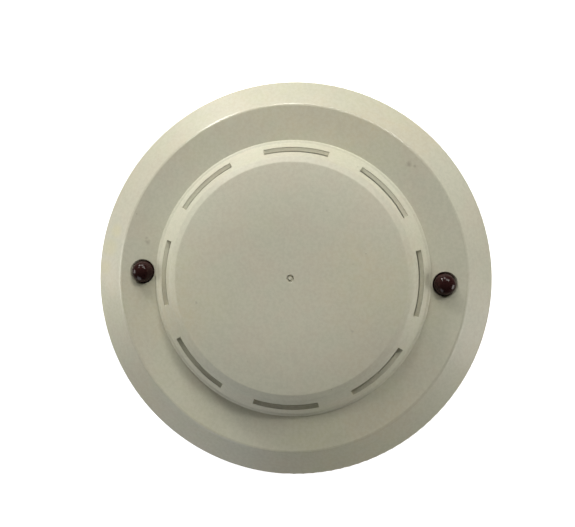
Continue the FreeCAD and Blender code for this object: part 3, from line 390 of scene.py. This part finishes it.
def laminate(tree):
    """Glass-epoxy board under green solder resist, with its weave just showing and paler copper areas."""
    warp_and_weft = []
    for way in ("X", "Y"):
        sockets = {"Vector": millimetres(tree), **WEAVE}
        warp_and_weft.append(add(tree, "TexWave", sockets, bands_direction=way).outputs["Fac"])
    weave = maths(tree, "MULTIPLY", *warp_and_weft)
    pour = remap(tree, noise(tree, COPPER_SIZE, detail=0.0), *COPPER_EDGE)
    tone = blend_colour(tree, pour, RESIST, RESIST_OVER_COPPER)
    tone = blend_colour(tree, maths(tree, "MULTIPLY", weave, WEAVE_SHARE), tone, WEAVE_GREEN)
    return {
        "Base Color": tone,
        "Roughness": remap(tree, noise(tree, BOARD_HAZE, detail=3.0), *WIDE, *BOARD_ROUGH),
        "IOR": PLASTIC_IOR,
        "Normal": bumped(tree, [(pour, COPPER_HIGH), (weave, WEAVE_HIGH)]),
    }


FINISHES = {
    "cover_plastic": ivory(IVORY, IVORY_AGED, SCUFFS, YELLOWED),
    "base_plastic": ivory(BASE_IVORY, BASE_AGED),
    "chassis_plastic": ivory(BASE_IVORY, IVORY),
    # The tray takes the darker ivory, painted shade inside the slots.
    "tray_plastic": ivory(TRAY_IVORY_SHADED, TRAY_AGED_SHADED, shade_and_soil=0.2),
    "lamp_lens": lamp_epoxy,
    "lamp_spacer": moulded((0.55, 0.54, 0.50), 0.5),
    "tinned_wire": metal((0.62, 0.61, 0.58), 0.30),
    "epoxy_bead": moulded((0.012, 0.012, 0.014), 0.25),
    "sleeve": moulded((0.62, 0.60, 0.52), 0.5),
    "contact_metal": metal((0.72, 0.62, 0.40), 0.30, (1, 1, 0.1)),
    "screw_steel": metal((0.60, 0.59, 0.56), 0.32),
    "label_film": moulded((0.70, 0.70, 0.68), 0.45, mottling=0.1),
    "board_laminate": laminate,
    "switch_plastic": moulded((0.02, 0.02, 0.022), 0.45),
    "dial_plastic": moulded((0.70, 0.68, 0.60), 0.45),
    "chip_epoxy": moulded((0.018, 0.018, 0.019), 0.55),
    "shield_metal": metal((0.58, 0.58, 0.56), 0.35, (0.1, 1, 1)),
    "resistor_body": moulded((0.62, 0.48, 0.28), 0.4),
    "diode_body": moulded((0.02, 0.02, 0.02), 0.4),
    "capacitor_sleeve": moulded((0.02, 0.03, 0.10), 0.3),
    "film_box": moulded((0.55, 0.12, 0.04), 0.4),
    "varistor_coat": moulded((0.05, 0.14, 0.32), 0.35),
    "reed_glass": moulded((0.30, 0.42, 0.34), 0.08),
}


def dress_cad_nodes():
    """Give every CAD node the finish of its slot."""
    made = {name: material(name, build) for name, build in FINISHES.items()}
    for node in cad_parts.values():
        for place in node.material_slots:
            slot_name = place.material.name.split(".")[0]
            place.material = made[slot_name]
    return made


finishes = dress_cad_nodes()


# ---- mesh helpers --------------------------------------------------------------------------------

SAME_PLACE = 0.001 * MM  # vertices closer than this are one


def piece(name, shape, body, slot, smooth=True):
    """New mesh piece from (vertices, faces). It rides on a body and takes a slot's finish."""
    mesh = bpy.data.meshes.new(name)
    mesh.from_pydata(shape[0], [], shape[1])
    mesh.materials.append(finishes[slot])
    if smooth:
        mesh.shade_smooth()
    made = bpy.data.objects.new(name, mesh)
    bpy.context.scene.collection.objects.link(made)
    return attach(made, body)


def joined(shapes):
    """One (vertices, faces) pair from several."""
    vertices, faces = [], []
    for part_vertices, part_faces in shapes:
        first = len(vertices)
        vertices += part_vertices
        faces += [tuple(first + i for i in face) for face in part_faces]
    return vertices, faces


def placed(shape, matrix):
    """The shape moved by a matrix."""
    return [tuple(matrix @ Vector(v)) for v in shape[0]], shape[1]


def direction(azimuth, elevation):
    """Unit vector towards a place seen from the object; azimuth turns anticlockwise from +X."""
    turn, rise = math.radians(azimuth), math.radians(elevation)
    return Vector((math.cos(turn) * math.cos(rise), math.sin(turn) * math.cos(rise), math.sin(rise)))


def at(x, y, z=0.0, turn=0.0):
    """Matrix that turns about z by an angle in degrees and then moves to (x, y, z)."""
    return Matrix.Translation((x, y, z)) @ Matrix.Rotation(math.radians(turn), 4, "Z")


def in_metres(profile):
    """A profile of (radius, z) in millimetres, in metres."""
    return [(radius * MM, z * MM) for radius, z in profile]


def lathe(profile, steps):
    """Closed surface of revolution about z. The profile is (radius, z), from the axis to the axis."""
    low, high = (0, 0, profile[0][1]), (0, 0, profile[-1][1])
    rings = profile[1:-1]
    vertices = [low]
    for radius, z in rings:
        for i in range(steps):
            turn = 2 * math.pi * i / steps
            vertices.append((radius * math.cos(turn), radius * math.sin(turn), z))
    vertices.append(high)
    last = len(vertices) - 1
    faces = []
    for i in range(steps):
        j = (i + 1) % steps
        faces.append((0, 1 + j, 1 + i))
        faces.append((last, last - steps + i, last - steps + j))
        for k in range(len(rings) - 1):
            a, b = 1 + k * steps, 1 + (k + 1) * steps
            faces.append((a + i, a + j, b + j, b + i))
    return vertices, faces


def plate(outline, low, high):
    """Flat plate between two heights from an anticlockwise outline of (x, y)."""
    n = len(outline)
    vertices = [(x, y, low) for x, y in outline] + [(x, y, high) for x, y in outline]
    sides = [(i, (i + 1) % n, n + (i + 1) % n, n + i) for i in range(n)]
    return vertices, [tuple(range(n))[::-1], tuple(range(n, 2 * n))] + sides


def bar(x0, y0, x1, y1, low, high):
    """Thin upright-sided bar between two corners."""
    return plate([(x0, y0), (x1, y0), (x1, y1), (x0, y1)], low, high)


def figure(text, size, thick):
    """Solid figure, centred on the origin and read from +z, as (vertices, faces)."""
    curve = bpy.data.curves.new("figure", "FONT")
    curve.body = text
    curve.size = size
    curve.align_x = "CENTER"
    curve.align_y = "CENTER"
    curve.extrude = thick / 2
    curve.resolution_u = 3
    holder = bpy.data.objects.new("figure", curve)
    bpy.context.scene.collection.objects.link(holder)
    bpy.context.view_layer.update()
    mesh = bpy.data.meshes.new_from_object(holder)
    shape = [tuple(v.co) for v in mesh.vertices], [tuple(p.vertices) for p in mesh.polygons]
    bpy.data.objects.remove(holder)
    bpy.data.curves.remove(curve)
    bpy.data.meshes.remove(mesh)
    return shape


def middle_of(node):
    """Middle of a CAD node's box."""
    low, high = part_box(node)
    return (low + high) / 2


def islands(node, wanted):
    """Groups of touching vertices of a CAD node that pass the wanted test, each as a list of places."""
    work = bmesh.new()
    work.from_mesh(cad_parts[node].data)
    bmesh.ops.remove_doubles(work, verts=work.verts, dist=SAME_PLACE)
    todo = {v for v in work.verts if wanted(v.co)}
    groups = []
    for start in [v for v in work.verts if v in todo]:
        if start not in todo:
            continue
        todo.remove(start)
        group, edge = [], [start]
        while edge:
            here = edge.pop()
            group.append(here.co.copy())
            for link in here.link_edges:
                other = link.other_vert(here)
                if other in todo:
                    todo.remove(other)
                    edge.append(other)
        groups.append(group)
    work.free()
    return groups


def centre(places):
    """Middle of the box round some places."""
    low = Vector([min(p[i] for p in places) for i in range(3)])
    high = Vector([max(p[i] for p in places) for i in range(3)])
    return (low + high) / 2


# ---- pieces on the head --------------------------------------------------------------------------

LEAD_NODES = (
    "lamp_leads", "thermistor_leads", "resistor_leads", "diode_leads", "transistor_leads",
    "varistor_leads", "reed_switch_blades", "reference_thermistor_leads", "control_ic_pins",
)
LEAD_TIP = 0.05 * MM  # height of a lead's end that is looked for

# Profiles in mm: (radius, z), from the axis to the axis.
SOLDER_PROFILE = [
    (0.0, -0.62), (0.36, -0.62), (0.42, -0.40), (0.56, -0.20), (0.80, -0.07), (0.92, -0.035),
    (0.92, 0.0), (0.0, 0.0),
]
PAD_PROFILE = [
    (0.0, 0.0), (0.90, 0.0), (0.90, 0.03), (0.84, 0.045), (0.46, 0.045), (0.30, 0.02), (0.0, 0.02),
]
CUP_PROFILE = [
    (0.0, 0.0), (0.35, 0.0), (0.75, 0.55), (0.80, 0.60), (0.66, 0.58), (0.36, 0.22), (0.0, 0.20),
]
ANVIL_PROFILE = [(0.0, 0.0), (0.42, 0.0), (0.42, 0.25), (0.0, 0.45)]
PAD_STEPS, CUP_STEPS, ANVIL_STEPS = 20, 24, 16

CUP_SHARE = 0.52  # height of the cup's foot as a share of the lamp's height
CUP_SIDE, ANVIL_SIDE = -0.5 * MM, 1.1 * MM  # places of the cup and the anvil across the lamp


def lead_feet():
    """Middle of every lead's end under the board."""
    ends = []
    for node in LEAD_NODES:
        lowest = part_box(node)[0].z + LEAD_TIP
        ends += [centre(group) for group in islands(node, lambda co: co.z < lowest)]
    return ends


def solder_joints():
    """Hollow-sided solder cone round each lead under the board, on its copper pad."""
    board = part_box("circuit_board")[0].z
    cone = lathe(in_metres(SOLDER_PROFILE), PAD_STEPS)
    return joined([placed(cone, at(end.x, end.y, board)) for end in lead_feet()])


def board_pads():
    """Bright ring of each plated hole on the top of the board."""
    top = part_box("circuit_board")[1].z
    ring = lathe(in_metres(PAD_PROFILE), PAD_STEPS)
    return joined([placed(ring, at(end.x, end.y, top)) for end in lead_feet()])


def lamp_frames():
    """Reflector cup and anvil of the lead frame inside each lamp."""
    shapes = []
    cup = lathe(in_metres(CUP_PROFILE), CUP_STEPS)
    anvil = lathe(in_metres(ANVIL_PROFILE), ANVIL_STEPS)
    for node in ("status_lamp_left", "status_lamp_right"):
        low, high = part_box(node)
        middle = middle_of(node)
        seat = low.z + CUP_SHARE * (high.z - low.z)
        shapes.append(placed(cup, at(middle.x, middle.y + CUP_SIDE, seat)))
        shapes.append(placed(anvil, at(middle.x, middle.y + ANVIL_SIDE, seat)))
    return joined(shapes)


STRIPE_PROUD = 0.02 * MM  # how far the stripe stands out of the sleeve
STRIPE_INNER = 0.985  # inner radius of the stripe as a share of its outer one
STRIPE_FOOT, STRIPE_HEAD = 2.2 * MM, 0.8 * MM  # clear sleeve below and above the stripe
STRIPE_HALF, STRIPE_STEPS = 22, 8  # half angle in degrees, and the number of its flats


def can_stripes():
    """Pale minus stripe down the sleeve of each upright capacitor."""
    shapes = []
    angles = [
        math.radians(-STRIPE_HALF + 2 * STRIPE_HALF * i / STRIPE_STEPS) for i in range(STRIPE_STEPS + 1)
    ]
    for can in islands("electrolytic_capacitors", lambda co: True):
        middle = centre(can)
        radius = max(co.x for co in can) - middle.x + STRIPE_PROUD
        low = min(co.z for co in can) + STRIPE_FOOT
        high = max(co.z for co in can) - STRIPE_HEAD
        outer = [(radius * math.cos(a), radius * math.sin(a)) for a in angles]
        inner = [(STRIPE_INNER * x, STRIPE_INNER * y) for x, y in reversed(outer)]
        shapes.append(placed(plate(outer + inner, low, high), at(middle.x, middle.y)))
    return joined(shapes)


SCALE_HALF = 0.15 * MM  # half the thickness of the raised figures and ticks
SCALE_LIFT = 0.03 * MM  # from the label's back down to the middle of the figures
TICK_R, FIGURE_R = 4.6 * MM, 5.9 * MM  # from the dial's axis
TICK_LONG, TICK_HALF = 0.5 * MM, 0.08 * MM
FIGURE_TALL = 1.5 * MM
DIGITS = 10


def dial_scales():
    """Ticks and figures round each address dial, raised on the rear floor and read from behind."""
    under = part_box("rear_label")[0].z - SCALE_LIFT
    shapes = []
    flip = Matrix.Rotation(math.pi, 4, "X")
    tick = bar(0, -TICK_HALF, TICK_LONG, TICK_HALF, -SCALE_HALF, SCALE_HALF)
    for node in ("tens_dial", "ones_dial"):
        middle = middle_of(node)
        for digit in range(DIGITS):
            turn = 90 - 360 / DIGITS * digit
            out = direction(turn, 0)
            spot = Matrix.Translation((middle.x + out.x * FIGURE_R, middle.y + out.y * FIGURE_R, under))
            shapes.append(placed(figure(str(digit), FIGURE_TALL, SCALE_HALF * 2), spot @ flip))
            foot = at(middle.x + out.x * TICK_R, middle.y + out.y * TICK_R, under, turn)
            shapes.append(placed(tick, foot))
    return joined(shapes)


LABEL_MARGIN, LABEL_LINE = 1.2 * MM, 0.12 * MM
LABEL_ROWS = 5
LABEL_COLUMN = 0.36  # place of the dividing line as a share of the width
INK_PROUD, INK_SUNK = 0.015 * MM, 0.01 * MM


def label_print():
    """Ruled table with empty rows and two columns on the rating label, read from behind."""
    low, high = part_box("rear_label")
    ink_low, ink_high = low.z - INK_PROUD, low.z + INK_SUNK
    half = LABEL_LINE / 2
    x0, x1 = low.x + LABEL_MARGIN, high.x - LABEL_MARGIN
    y0, y1 = low.y + LABEL_MARGIN, high.y - LABEL_MARGIN
    shapes = []
    for k in range(LABEL_ROWS + 1):
        y = y0 + (y1 - y0) * k / LABEL_ROWS
        shapes.append(bar(x0, y - half, x1, y + half, ink_low, ink_high))
    for x in (x0, x0 + LABEL_COLUMN * (x1 - x0), x1):
        shapes.append(bar(x - half, y0, x + half, y1, ink_low, ink_high))
    return joined(shapes)


# ---- pieces on the base --------------------------------------------------------------------------

SCREW_LIFT = 0.8 * MM  # from the base plate up to the terminal screws
FIGURE_ASIDE = 7.2 * MM  # from a terminal screw to the middle of its figure
TERMINAL_FIGURE, TERMINAL_THICK = 4.0 * MM, 0.5 * MM


def terminal_figures():
    """Figures 1 to 4 raised on the base plate beside the terminals."""
    plate_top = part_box("terminal_screws")[0].z - SCREW_LIFT
    shapes = []
    for k, screw in enumerate(islands("terminal_screws", lambda co: True)):
        middle = centre(screw)
        out = Vector((middle.x, middle.y, 0)).normalized()
        side = Vector((-out.y, out.x, 0))
        spot = middle + side * FIGURE_ASIDE
        shape = figure(str(k + 1), TERMINAL_FIGURE, TERMINAL_THICK)
        shapes.append(placed(shape, at(spot.x, spot.y, plate_top)))
    return joined(shapes)


def add_pieces():
    """Every piece that the CAD model leaves to the looks."""
    piece("solder_joints", solder_joints(), "head", "tinned_wire")
    piece("board_pads", board_pads(), "head", "tinned_wire")
    piece("lamp_frames", lamp_frames(), "head", "contact_metal")
    piece("can_stripes", can_stripes(), "head", "label_film", smooth=False)
    piece("dial_scales", dial_scales(), "head", "chassis_plastic", smooth=False)
    piece("label_print", label_print(), "head", "switch_plastic", smooth=False)
    piece("terminal_figures", terminal_figures(), "base", "base_plastic", smooth=False)


# ---- studio --------------------------------------------------------------------------------------

LAMP_DISTANCE = 1.4
WARM, COOL = (1.0, 0.985, 0.93), (0.97, 0.985, 1.0)
LAMPS = {  # azimuth and elevation in degrees, size in metres, power in watts, colour
    "high_key": (74, 36, 0.45, 5.1, WARM),
    "low_key": (120, 16, 0.25, 7.6, WARM),
    "wide_key": (96, 18, 0.35, 5.4, WARM),
    "right_spark": (54, 37, 0.13, 3.8, WARM),
    "left_spark": (132, 37, 0.10, 1.6, WARM),
    "left_fill": (182, 8, 0.55, 5.5, WARM),
    "right_fill": (345, 4, 0.60, 7.2, WARM),
    "front_fill": (242, 9, 0.80, 4.9, COOL),
    "under_key": (300, -68, 1.00, 14.0, WARM),
    "under_fill": (110, -60, 1.20, 4.0, COOL),
}

WHITE = (1, 1, 1, 1)
GLOW_COLOUR = (1.0, 0.98, 0.93, 1)
GLOW_BELOW, GLOW_ABOVE, HORIZON = 0.15, 0.02, 0.2  # strengths, and where one has given way to the other

FLOOR_HALF = 3.0
FLOOR_DROP = 0.02 * MM  # below the object's back
FLOOR_TONE, FLOOR_GLOW = 0.8, 0.96

CAMERA_TURN, CAMERA_YAW, CAMERA_PITCH = 2.37, 3.1, 0.4  # degrees
CAMERA_PLACE = Vector((-0.025, 0.072, 2.8))  # in rim radii, in the turned axes
LENS, SENSOR = 34.3, 36.0  # mm
NEAREST = 0.01  # where the view begins, in metres


def place_lamps():
    """Soft square lamps that face the object."""
    middle = Vector((0, 0, RIM_Z))
    for name, (azimuth, elevation, size, power, colour) in LAMPS.items():
        data = bpy.data.lights.new(name, "AREA")
        data.size = size
        data.energy = power
        data.color = colour
        lamp = bpy.data.objects.new(name, data)
        towards = direction(azimuth, elevation)
        lamp.location = middle + towards * LAMP_DISTANCE
        lamp.rotation_euler = towards.to_track_quat("Z", "Y").to_euler()
        bpy.context.scene.collection.objects.link(lamp)


def light_the_room():
    """Pale surroundings: white to the camera, and a dim glow on the object from low all round."""
    world = bpy.data.worlds.new("studio")
    bpy.context.scene.world = world
    world.use_nodes = True
    tree = world.node_tree
    tree.nodes.clear()
    up = add(tree, "SeparateXYZ", {0: add(tree, "TexCoord").outputs["Generated"]}).outputs["Z"]
    glow = remap(tree, up, -HORIZON, HORIZON, GLOW_BELOW, GLOW_ABOVE)
    dim = add(tree, "Background", {"Color": GLOW_COLOUR, "Strength": glow})
    seen = add(tree, "Background", {"Color": WHITE, "Strength": 1.0})
    camera_ray = add(tree, "LightPath").outputs["Is Camera Ray"]
    both = add(tree, "MixShader", {0: camera_ray, 1: dim.outputs[0], 2: seen.outputs[0]})
    add(tree, "OutputWorld", {"Surface": both.outputs[0]})


def paper():
    """Pale matt material that glows enough to read as white paper, and is clear from below."""
    made = bpy.data.materials.new("paper")
    made.use_nodes = True
    tree = made.node_tree
    tree.nodes.clear()
    matt = add(tree, "BsdfDiffuse", {"Color": (FLOOR_TONE, FLOOR_TONE, FLOOR_TONE, 1)})
    glow = add(tree, "Emission", {"Color": WHITE, "Strength": FLOOR_GLOW})
    lit = add(tree, "AddShader", {0: matt.outputs[0], 1: glow.outputs[0]})
    clear = add(tree, "BsdfTransparent")
    behind = add(tree, "NewGeometry").outputs["Backfacing"]
    surface = add(tree, "MixShader", {0: behind, 1: lit.outputs[0], 2: clear.outputs[0]})
    add(tree, "OutputMaterial", {"Surface": surface.outputs[0]})
    return made


def lay_floor():
    """Plain pale floor just under the object. Only the camera's own rays see it."""
    mesh = bpy.data.meshes.new("floor")
    half, height = FLOOR_HALF, cad_low.z - FLOOR_DROP
    corners = [(-half, -half, height), (half, -half, height), (half, half, height), (-half, half, height)]
    mesh.from_pydata(corners, [], [(0, 1, 2, 3)])
    mesh.materials.append(paper())
    floor = bpy.data.objects.new("floor", mesh)
    bpy.context.scene.collection.objects.link(floor)
    floor.visible_diffuse = False
    floor.visible_glossy = False
    floor.visible_transmission = False
    floor.visible_shadow = False


def place_camera():
    """Camera straight over the sensing face, a little off its axis, as close as a hand-held one."""
    data = bpy.data.cameras.new("camera")
    data.sensor_width = SENSOR
    data.lens = LENS
    data.clip_start = NEAREST
    camera = bpy.data.objects.new("camera", data)
    bpy.context.scene.collection.objects.link(camera)
    turn = Matrix.Rotation(math.radians(CAMERA_TURN), 4, "Z")
    yaw = Matrix.Rotation(math.radians(CAMERA_YAW), 4, "Y")
    pitch = Matrix.Rotation(math.radians(CAMERA_PITCH), 4, "X")
    back = Matrix.Translation(CAMERA_PLACE * RIM_R)
    camera.matrix_world = Matrix.Translation((0, 0, RIM_Z)) @ turn @ yaw @ pitch @ back
    bpy.context.scene.camera = camera


add_pieces()
light_the_room()
place_lamps()
lay_floor()
place_camera()
bpy.context.scene.view_settings.view_transform = "Standard"
